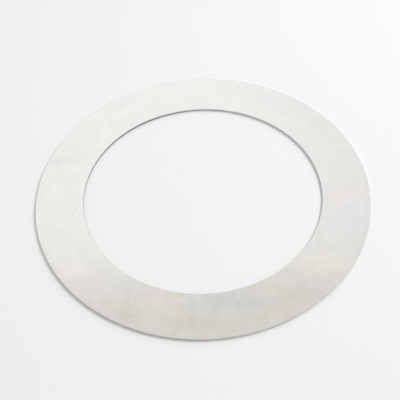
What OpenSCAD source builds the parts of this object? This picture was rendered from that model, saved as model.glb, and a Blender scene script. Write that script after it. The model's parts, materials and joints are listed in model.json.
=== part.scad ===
// Thin flat washer: one ring blanked from stainless sheet, lying on its lower face.
// Millimetres. The bore runs along Z and the origin is its centre on the lower face.

/* [Ring] */
// Outside diameter
outer_d = 70; // [60:1:150]
// Diameter of the bore
bore_d = 50; // [10:1:55]
// Thickness of the sheet
thickness = 0.4; // [0.2:0.05:3]

/* [Edges] */
// Radius of the edges of the upper face, rolled over where the punch and the die pulled the sheet down
roll_r = 0.05; // [0.02:0.01:0.12]
// Width of the bevel that deburring leaves on the edges of the lower face
deburr = 0.03; // [0.01:0.01:0.06]

/* [Hidden] */
outer_r = outer_d / 2;
bore_r = bore_d / 2;
arc_steps = 6;
$fn = 180;

// A quarter arc of the given radius about a centre, anticlockwise from an angle
function quarter_arc(centre, radius, from) = [
    for (i = [0:arc_steps])
        let (a = from + 90 * i / arc_steps)
        centre + radius * [cos(a), sin(a)]
];

// Half of the washer's cross-section, drawn with the radius along X and the height along Y
module section() {
    lower = [[bore_r, deburr], [bore_r + deburr, 0], [outer_r - deburr, 0], [outer_r, deburr]];
    outer_roll = quarter_arc([outer_r - roll_r, thickness - roll_r], roll_r, 0);
    bore_roll = quarter_arc([bore_r + roll_r, thickness - roll_r], roll_r, 90);
    polygon(concat(lower, outer_roll, bore_roll));
}

module washer() {
    color([0.86, 0.85, 0.83])
        rotate_extrude()
            section();
}

washer();
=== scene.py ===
"""Looks of a thin flat washer: one ring of stainless sheet lying on a pale table under soft light.

Metres, in the CAD frame: the bore runs along Z and the origin is its centre on the lower face.
The camera looks along +Y, so +X is to its right and +Y is the far side.
"""
import json
import math

import bmesh
import bpy
from mathutils import Matrix, Vector


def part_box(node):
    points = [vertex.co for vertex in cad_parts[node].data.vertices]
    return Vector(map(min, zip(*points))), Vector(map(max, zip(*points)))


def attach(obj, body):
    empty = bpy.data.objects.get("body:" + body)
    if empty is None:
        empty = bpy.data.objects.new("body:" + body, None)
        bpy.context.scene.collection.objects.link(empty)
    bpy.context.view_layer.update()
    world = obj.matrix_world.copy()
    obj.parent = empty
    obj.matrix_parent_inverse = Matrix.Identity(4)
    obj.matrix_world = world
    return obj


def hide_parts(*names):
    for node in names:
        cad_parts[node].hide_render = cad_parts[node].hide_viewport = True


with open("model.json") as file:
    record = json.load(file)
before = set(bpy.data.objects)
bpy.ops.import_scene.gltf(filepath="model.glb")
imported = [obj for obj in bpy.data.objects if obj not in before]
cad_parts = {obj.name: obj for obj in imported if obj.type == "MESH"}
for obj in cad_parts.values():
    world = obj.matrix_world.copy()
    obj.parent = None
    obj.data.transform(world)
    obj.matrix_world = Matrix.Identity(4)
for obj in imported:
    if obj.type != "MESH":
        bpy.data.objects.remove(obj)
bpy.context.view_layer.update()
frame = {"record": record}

MM = 0.001

# Sizes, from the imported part
MOUNTS = {mount["name"]: mount for mount in frame["record"]["mounts"]}
OUTER_R = MOUNTS["outer_rim"]["dims"]["r_mm"] * MM
BORE_R = MOUNTS["bore"]["dims"]["r_mm"] * MM
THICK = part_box("washer")[1].z

# Edges of the punched sheet. A wall's drawn share is the part of its height that the punch burnished
ROLL = 0.05 * MM
DEBURR = 0.03 * MM
BREAK_DEPTH = 0.012 * MM
OUTER_DRAWN_SHARE = 0.8
BORE_DRAWN_SHARE = 0.5

# Fineness of the mesh
SEGMENTS = 960
ARC_STEPS = 6
FLAT_MARGIN = 0.03 * MM
SHARP_ANGLE = 35

# Half the side of the table top
TABLE_HALF = 4.0


# --- Node helpers ---------------------------------------------------------------------------------


class Shader:
    """A node tree with short calls for the few kinds of node that the materials use."""

    def __init__(self, tree):
        self.tree = tree
        tree.nodes.clear()

    def node(self, kind, **settings):
        """A node of that kind with the given properties."""
        made = self.tree.nodes.new("ShaderNode" + kind)
        for name, value in settings.items():
            setattr(made, name, value)
        return made

    def put(self, socket, value):
        """A link where value is another node's output, or else a constant."""
        if isinstance(value, bpy.types.NodeSocket):
            self.tree.links.new(value, socket)
        else:
            socket.default_value = value

    def math(self, operation, a, b):
        """The result of one operation on two numbers."""
        made = self.node("Math", operation=operation)
        self.put(made.inputs[0], a)
        self.put(made.inputs[1], b)
        return made.outputs[0]

    def ramp(self, value, low, high, to_low=0.0, to_high=1.0, smooth=True):
        """value taken from low..high to to_low..to_high."""
        made = self.node("MapRange", interpolation_type="SMOOTHSTEP" if smooth else "LINEAR")
        for name, given in (("Value", value), ("From Min", low), ("From Max", high),
                            ("To Min", to_low), ("To Max", to_high)):
            self.put(made.inputs[name], given)
        return made.outputs["Result"]

    def mix(self, share, a, b, blend="MIX"):
        """Colour a where share is 0 and b where it is 1."""
        made = self.node("Mix", data_type="RGBA", blend_type=blend)
        self.put(made.inputs["Factor"], share)
        self.put(made.inputs[6], a)
        self.put(made.inputs[7], b)
        return made.outputs[2]

    def noise(self, where, size, detail=3.0, rough=0.5, distortion=0.0):
        """Noise from 0 to 1 whose blotches are about size metres across."""
        made = self.node("TexNoise", noise_dimensions="3D")
        self.put(made.inputs["Vector"], where)
        made.inputs["Scale"].default_value = 1 / size
        made.inputs["Detail"].default_value = detail
        made.inputs["Roughness"].default_value = rough
        made.inputs["Distortion"].default_value = distortion
        return made.outputs["Fac"]

    def stretched(self, where, turn, scale):
        """Coordinates turned about Z by turn degrees, then scaled along each axis."""
        turned = self.node("Mapping", vector_type="POINT")
        self.put(turned.inputs["Vector"], where)
        turned.inputs["Rotation"].default_value = (0, 0, math.radians(turn))
        scaled = self.node("Mapping", vector_type="POINT")
        self.put(scaled.inputs["Vector"], turned.outputs[0])
        scaled.inputs["Scale"].default_value = scale
        return scaled.outputs[0]

    def bump(self, height, depth, normal=None):
        """Relief of that depth in metres, on top of another normal if one is given."""
        made = self.node("Bump")
        made.inputs["Strength"].default_value = 1.0
        made.inputs["Distance"].default_value = depth
        self.put(made.inputs["Height"], height)
        if normal is not None:
            self.put(made.inputs["Normal"], normal)
        return made.outputs[0]


def new_material(name):
    """A material and the Shader that fills its tree."""
    made = bpy.data.materials.new(name)
    made.use_nodes = True
    return made, Shader(made.node_tree)


# --- Materials ------------------------------------------------------------------------------------


def finish_metal(s, colour, roughness, normal):
    """The metal shader at the end of a material's tree."""
    shader = s.node("BsdfPrincipled")
    shader.inputs["Metallic"].default_value = 1.0
    s.put(shader.inputs["Base Color"], colour)
    s.put(shader.inputs["Roughness"], roughness)
    s.put(shader.inputs["Normal"], normal)
    s.put(s.node("OutputMaterial").inputs["Surface"], shader.outputs[0])


def stain(s, where, x, y, width, depth):
    """A soft, ragged blotch from 0 to 1, with its centre and its size along X and Y in millimetres."""
    moved = s.node("VectorMath", operation="SUBTRACT")
    s.put(moved.inputs[0], where)
    moved.inputs[1].default_value = (x * MM, y * MM, 0)
    shrunk = s.node("VectorMath", operation="MULTIPLY")
    s.put(shrunk.inputs[0], moved.outputs[0])
    shrunk.inputs[1].default_value = (2 / (width * MM), 2 / (depth * MM), 0)
    off = s.node("VectorMath", operation="LENGTH")
    s.put(off.inputs[0], shrunk.outputs[0])
    frayed = s.math("ADD", off.outputs["Value"], s.ramp(s.noise(where, 4 * MM), 0.2, 0.8, -0.2, 0.2))
    return s.ramp(frayed, 0.15, 1.25, 1.0, 0.0)


def scratches(s, where, turn, spacing, rare):
    """Hairlines along one direction, from 0 to 1. A larger rare leaves fewer of them."""
    lines = s.noise(s.stretched(where, turn, (1, 0.07, 1)), spacing, detail=2.0, rough=0.4)
    return s.ramp(lines, rare, rare + 0.03)


def side_share(s, where, angle, radius):
    """0 to 1 from one side of the ring to the other, highest on the side at that angle from +X towards +Y."""
    turned = s.node("SeparateXYZ")
    s.put(turned.inputs[0], s.stretched(where, -angle, (1, 1, 1)))
    return s.ramp(turned.outputs["X"], -radius, radius, smooth=False)


def tinted(s, where, colour):
    """That colour with faint tints here and there, as heat and oil leave them."""
    for x, y, width, depth, tint, share in (
        (31.0, -2.5, 13, 6, (0.79, 0.755, 0.75, 1), 0.8),
        (31.0, -9.5, 14, 9, (0.745, 0.755, 0.77, 1), 0.9),
        (23.0, -19.5, 13, 9, (0.83, 0.815, 0.765, 1), 0.9),
        (17.0, -26.5, 8, 4, (0.75, 0.735, 0.71, 1), 0.6),
        (12.5, -23.8, 8, 4, (0.81, 0.79, 0.75, 1), 0.7),
        (3.0, -27.0, 20, 5, (0.70, 0.73, 0.735, 1), 0.8),
        (-2.0, -31.5, 12, 5, (0.735, 0.72, 0.70, 1), 0.8),
        (-8.5, -27.0, 8, 5, (0.81, 0.815, 0.76, 1), 0.8),
        (-16.0, -28.5, 6, 5, (0.73, 0.71, 0.70, 1), 0.8),
        (-19.0, -24.5, 8, 4, (0.76, 0.765, 0.73, 1), 0.7),
        (-26.0, -18.0, 8, 5, (0.82, 0.785, 0.765, 1), 0.7),
        (-30.8, 11.5, 4, 3, (0.70, 0.70, 0.69, 1), 0.6),
    ):
        here = s.math("MULTIPLY", stain(s, where, x, y, width, depth), share)
        colour = s.mix(here, colour, tint)
    return colour


def darken_near_rim(s, where):
    """A mask along the near side of the outer rim, by which the face is made a little darker and rougher
    there.
    """
    radius = s.node("VectorMath", operation="LENGTH")
    s.put(radius.inputs[0], s.stretched(where, 0, (1, 1, 0)))
    rim = s.ramp(radius.outputs["Value"], OUTER_R - 1.6 * MM, OUTER_R)
    return s.math("MULTIPLY", rim, s.ramp(side_share(s, where, 290, OUTER_R), 0.3, 0.9, 0.0, 0.05))


def stainless_face():
    """Mill-finished sheet: a cloudy satin mirror with rolling lines, heat tints, stains and scratches."""
    made, s = new_material("stainless_face")
    where = s.node("TexCoord").outputs["Object"]

    swell = s.noise(where, 15 * MM, detail=1.0)
    cloud = s.noise(where, 9 * MM, detail=4.0, rough=0.55, distortion=0.5)
    blotch = s.noise(where, 5 * MM, detail=2.0)
    mottle = s.noise(where, 1.8 * MM, detail=4.0, rough=0.55, distortion=0.3)
    rolled = s.noise(s.stretched(where, 4, (1, 0.1, 1)), 0.8 * MM, detail=4.0, rough=0.6)
    pits = s.ramp(s.noise(where, 0.6 * MM, detail=1.0), 0.68, 0.76)
    hairlines = scratches(s, where, 34, 0.5 * MM, 0.70)
    hairlines = s.math("MAXIMUM", hairlines, scratches(s, where, -62, 0.6 * MM, 0.71))

    # Clean metal is slightly greener or pinker from place to place
    clean = s.mix(s.ramp(cloud, 0.35, 0.65), (0.775, 0.772, 0.757, 1), (0.778, 0.765, 0.753, 1))
    colour = tinted(s, where, clean)

    # Rolling lines, mottling, pits, scratches and a darkening along the near side of the outer rim
    shade = s.math("ADD", s.ramp(rolled, 0.3, 0.7, 0.995, 1.005), s.ramp(mottle, 0.3, 0.7, -0.012, 0.012))
    shade = s.math("ADD", shade, s.ramp(blotch, 0.35, 0.65, -0.01, 0.01))
    shade = s.math("SUBTRACT", shade, s.math("MULTIPLY", pits, 0.08))
    shade = s.math("SUBTRACT", shade, s.math("MULTIPLY", hairlines, 0.025))
    # The face is made a little darker and rougher along the near side of the outer rim
    rim_darkening = darken_near_rim(s, where)
    shade = s.math("SUBTRACT", shade, rim_darkening)
    grey = s.node("CombineColor")
    for channel in grey.inputs:
        s.put(channel, shade)
    colour = s.mix(1.0, colour, grey.outputs[0], blend="MULTIPLY")

    roughness = s.math("ADD", s.ramp(cloud, 0.3, 0.7, 0.10, 0.14), s.ramp(mottle, 0.35, 0.7, 0.0, 0.04))
    roughness = s.math("ADD", roughness, s.math("MULTIPLY", hairlines, 0.12))
    roughness = s.math("ADD", roughness, s.math("MULTIPLY", rim_darkening, 1.5))

    normal = s.bump(swell, 0.03 * MM)
    normal = s.bump(cloud, 0.01 * MM, normal)
    normal = s.bump(rolled, 0.0001 * MM, normal)
    normal = s.bump(hairlines, -0.0008 * MM, normal)
    finish_metal(s, colour, roughness, normal)
    return made


def sheared_wall(name, radius, drawn_share, drawn_colour, torn_colour, unshaded_side, darkest_painted_shade):
    """A punched wall: a burnished band on top and a torn band below, both scored from face to face.

    Shade is painted into its colour: away from one side it is painted darker, by up to a given share, with
    full brightness on the side at the given angle.
    """
    made, s = new_material(name)
    where = s.node("TexCoord").outputs["Object"]
    height = s.node("SeparateXYZ")
    s.put(height.inputs[0], where)

    score = s.noise(s.stretched(where, 0, (1, 1, 0.06)), 0.12 * MM, detail=5.0, rough=0.6)
    patchy = s.noise(where, 5 * MM, detail=3.0)
    wander = s.ramp(patchy, 0.3, 0.7, -0.05 * THICK, 0.05 * THICK)
    level = s.math("ADD", height.outputs["Z"], wander)
    change = (1 - drawn_share) * THICK
    torn = s.ramp(level, change - 0.04 * THICK, change + 0.04 * THICK, 1.0, 0.0)
    rounded = s.ramp(height.outputs["Z"], THICK - ROLL, THICK - 0.8 * ROLL)

    colour = s.mix(torn, drawn_colour, torn_colour)
    scored = tuple(0.55 * channel for channel in torn_colour[:3]) + (1,)
    colour = s.mix(s.ramp(score, 0.45, 0.75, 0.0, 0.3), colour, scored)
    # Painted shade: away from one side the wall's colour is painted darker, towards near black, standing in
    # for shade that falls by the wall
    painted_shade = s.ramp(side_share(s, where, unshaded_side, radius), 0.65, 1.0, darkest_painted_shade, 0.0)
    # The rolled top edge is painted half dark as well, a painted shade that hides its highlight
    colour = s.mix(s.math("MAXIMUM", painted_shade, s.math("MULTIPLY", rounded, 0.5)), colour, (0.12, 0.118, 0.115, 1))
    roughness = s.math("ADD", s.ramp(torn, 0.0, 1.0, 0.24, 0.5), s.ramp(score, 0.4, 0.7, 0.0, 0.1))
    roughness = s.math("MAXIMUM", roughness, s.math("MULTIPLY", rounded, 0.6))
    finish_metal(s, colour, roughness, s.bump(score, 0.006 * MM))
    return made


def table_paint():
    """Smooth white table top, very slightly uneven."""
    made, s = new_material("table_top")
    where = s.node("TexCoord").outputs["Object"]
    tone = s.noise(where, 60 * MM, detail=3.0)
    grain = s.noise(where, 1.2 * MM, detail=4.0)
    colour = s.mix(tone, (0.80, 0.80, 0.81, 1), (0.815, 0.815, 0.825, 1))
    colour = s.mix(s.ramp(grain, 0.3, 0.7, 0.0, 0.3), colour, (0.79, 0.79, 0.795, 1))
    shader = s.node("BsdfPrincipled")
    s.put(shader.inputs["Base Color"], colour)
    shader.inputs["Roughness"].default_value = 0.9
    shader.inputs["Specular IOR Level"].default_value = 0.1
    s.put(shader.inputs["Normal"], s.bump(grain, 0.01 * MM))
    s.put(s.node("OutputMaterial").inputs["Surface"], shader.outputs[0])
    return made


# --- The ring -------------------------------------------------------------------------------------


def arc(centre, radius, start):
    """A quarter arc about a centre, anticlockwise from start degrees, as (radius, height) points."""
    points = []
    for i in range(ARC_STEPS + 1):
        a = math.radians(start + 90 * i / ARC_STEPS)
        points.append((centre[0] + radius * math.cos(a), centre[1] + radius * math.sin(a)))
    return points


def near_ends(a, b):
    """A point close to each end of the stretch from a to b, so that it shades flat between round edges."""
    close = FLAT_MARGIN / math.dist(a, b)
    near = (a[0] + (b[0] - a[0]) * close, a[1] + (b[1] - a[1]) * close)
    far = (b[0] + (a[0] - b[0]) * close, b[1] + (a[1] - b[1]) * close)
    return [near, far]


def section():
    """The ring's closed cross-section, anticlockwise from the bore's lower edge.

    Each point is its radius, its height and the name of the surface that starts there. Both walls lean back
    by BREAK_DEPTH where the sheet broke away under the burnished band.
    """
    lower_in = (BORE_R + BREAK_DEPTH + DEBURR, 0.0)
    lower_out = (OUTER_R - BREAK_DEPTH - DEBURR, 0.0)
    outer_break = [(OUTER_R - BREAK_DEPTH, DEBURR), (OUTER_R, THICK * (1 - OUTER_DRAWN_SHARE))]
    outer_roll = arc((OUTER_R - ROLL, THICK - ROLL), ROLL, 0)
    bore_roll = arc((BORE_R + ROLL, THICK - ROLL), ROLL, 90)
    bore_break = [(BORE_R, THICK * (1 - BORE_DRAWN_SHARE)), (BORE_R + BREAK_DEPTH, DEBURR)]

    surfaces = (
        ("face", [lower_in]),
        ("outer", [lower_out] + outer_break + outer_roll[:-1]),
        ("face", [outer_roll[-1]] + near_ends(outer_roll[-1], bore_roll[0])),
        ("bore", bore_roll + bore_break),
    )
    return [(radius, height, surface) for surface, points in surfaces for radius, height in points]


def make_ring(materials):
    """The washer, turned from its section. materials is keyed by the names of the section's surfaces."""
    profile = section()
    names = list(materials)
    mesh = bmesh.new()
    rings = []
    for i in range(SEGMENTS):
        a = 2 * math.pi * i / SEGMENTS
        x, y = math.cos(a), math.sin(a)
        rings.append([mesh.verts.new((r * x, r * y, z)) for r, z, _ in profile])
    count = len(profile)
    for i in range(SEGMENTS):
        here, there = rings[i], rings[(i + 1) % SEGMENTS]
        for j in range(count):
            k = (j + 1) % count
            quad = mesh.faces.new((here[j], there[j], there[k], here[k]))
            quad.material_index = names.index(profile[j][2])
            quad.smooth = True
    data = bpy.data.meshes.new("washer_ring")
    mesh.normal_update()
    mesh.to_mesh(data)
    mesh.free()
    for name in names:
        data.materials.append(materials[name])
    data.set_sharp_from_angle(angle=math.radians(SHARP_ANGLE))
    made = bpy.data.objects.new("washer_ring", data)
    bpy.context.scene.collection.objects.link(made)
    return made


# --- Table, light and camera ----------------------------------------------------------------------


def rise(elevation):
    """The height of a unit vector that rises by elevation degrees."""
    return math.sin(math.radians(elevation))


def make_table():
    """A square table top level with the washer's lower face."""
    mesh = bmesh.new()
    bmesh.ops.create_grid(mesh, x_segments=1, y_segments=1, size=TABLE_HALF)
    data = bpy.data.meshes.new("table")
    mesh.to_mesh(data)
    mesh.free()
    data.materials.append(table_paint())
    made = bpy.data.objects.new("table", data)
    bpy.context.scene.collection.objects.link(made)


def make_world():
    """A pale room: a bright wall behind the table, dimmer walls on the other sides and a warmer ceiling.

    All the walls fade to the same grey at the horizon.
    """
    world = bpy.data.worlds.new("room")
    bpy.context.scene.world = world
    world.use_nodes = True
    s = Shader(world.node_tree)
    toward = s.node("SeparateXYZ")
    s.put(toward.inputs[0], s.node("TexCoord").outputs["Generated"])
    x, y, z = toward.outputs

    left = (0.40, 0.40, 0.41, 1)
    right = (0.54, 0.54, 0.54, 1)
    near_left = (0.58, 0.58, 0.59, 1)
    near_right = (0.98, 0.975, 0.96, 1)
    back = (1.12, 1.12, 1.115, 1)
    horizon = (0.66, 0.66, 0.665, 1)
    ceiling = (0.85, 0.825, 0.78, 1)

    wall = s.mix(s.ramp(x, -0.5, 0.5), left, right)
    near = s.mix(s.ramp(x, -0.8, 0.8), near_left, near_right)
    near_side = s.math("MULTIPLY", s.ramp(y, -0.6, -0.1, 1.0, 0.0), s.ramp(z, rise(30), rise(50), 1.0, 0.0))
    wall = s.mix(near_side, wall, near)
    wall = s.mix(s.ramp(y, 0.2, 0.6), wall, back)
    wall = s.mix(s.ramp(z, rise(4), rise(34)), horizon, wall)

    # All of it is a little darker away from the middle, and most so on the right
    aside = s.math("ADD", s.ramp(x, 0.02, 0.2, 0.0, 0.10), s.ramp(x, -0.22, -0.08, 0.04, 0.0))
    colour = s.mix(s.ramp(z, rise(53.5), rise(56)), wall, ceiling)
    background = s.node("Background")
    s.put(background.inputs["Color"], s.mix(aside, colour, (0, 0, 0, 1)))
    background.inputs["Strength"].default_value = 1.0
    s.put(s.node("OutputWorld").inputs["Surface"], background.outputs[0])


def make_softbox(name, azimuth, elevation, distance, size, power, spread, aim=(0.0, 0.0)):
    """A square softbox whose grid keeps its beam within spread degrees, aimed at a point of the table.

    Azimuth is in degrees from +Y towards +X, size and distance are in metres, and power is in watts.
    """
    a, e = math.radians(azimuth), math.radians(elevation)
    away = Vector((math.sin(a) * math.cos(e), math.cos(a) * math.cos(e), math.sin(e)))
    data = bpy.data.lights.new(name, "AREA")
    data.shape = "SQUARE"
    data.size = size
    data.spread = math.radians(spread)
    data.energy = power
    made = bpy.data.objects.new(name, data)
    made.location = Vector((aim[0], aim[1], 0)) + away * distance
    made.rotation_mode = "QUATERNION"
    made.rotation_quaternion = away.to_track_quat("Z", "Y")
    bpy.context.scene.collection.objects.link(made)


def make_camera():
    """The camera of the photograph: above the near side, aimed close to the ring's centre."""
    elevation = math.radians(50.65)
    roll = math.radians(-3.25)
    distance = 182.4 * MM
    aim = Vector((-0.57 * MM, -1.7 * MM, THICK))

    back = Vector((0, -math.cos(elevation), math.sin(elevation)))
    level_right = Vector((1, 0, 0))
    level_up = back.cross(level_right)
    right = level_right * math.cos(roll) + level_up * math.sin(roll)
    up = level_up * math.cos(roll) - level_right * math.sin(roll)

    data = bpy.data.cameras.new("camera")
    data.lens = 78.7
    data.sensor_width = 36
    data.clip_start = 0.01
    data.clip_end = 20
    made = bpy.data.objects.new("camera", data)
    facing = Matrix((right, up, back)).transposed().to_4x4()
    made.matrix_world = Matrix.Translation(aim + back * distance) @ facing
    bpy.context.scene.collection.objects.link(made)
    bpy.context.scene.camera = made


bpy.context.scene.view_settings.view_transform = "Standard"
make_camera()
make_table()
make_world()
make_softbox("key", azimuth=54, elevation=40, distance=0.8, size=0.29, power=0.32, spread=46,
             aim=(0.07, 0.02))
make_softbox("window", azimuth=25, elevation=16, distance=0.9, size=0.3, power=0.27, spread=60)

ring = make_ring({
    "face": stainless_face(),
    "outer": sheared_wall("outer_wall", OUTER_R, OUTER_DRAWN_SHARE,
                          (0.95, 0.94, 0.92, 1), (0.86, 0.85, 0.83, 1), unshaded_side=285, darkest_painted_shade=0.1),
    "bore": sheared_wall("bore_wall", BORE_R, BORE_DRAWN_SHARE,
                         (0.90, 0.895, 0.88, 1), (0.78, 0.775, 0.765, 1), unshaded_side=50, darkest_painted_shade=0.75),
})
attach(ring, "root")
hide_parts("washer")
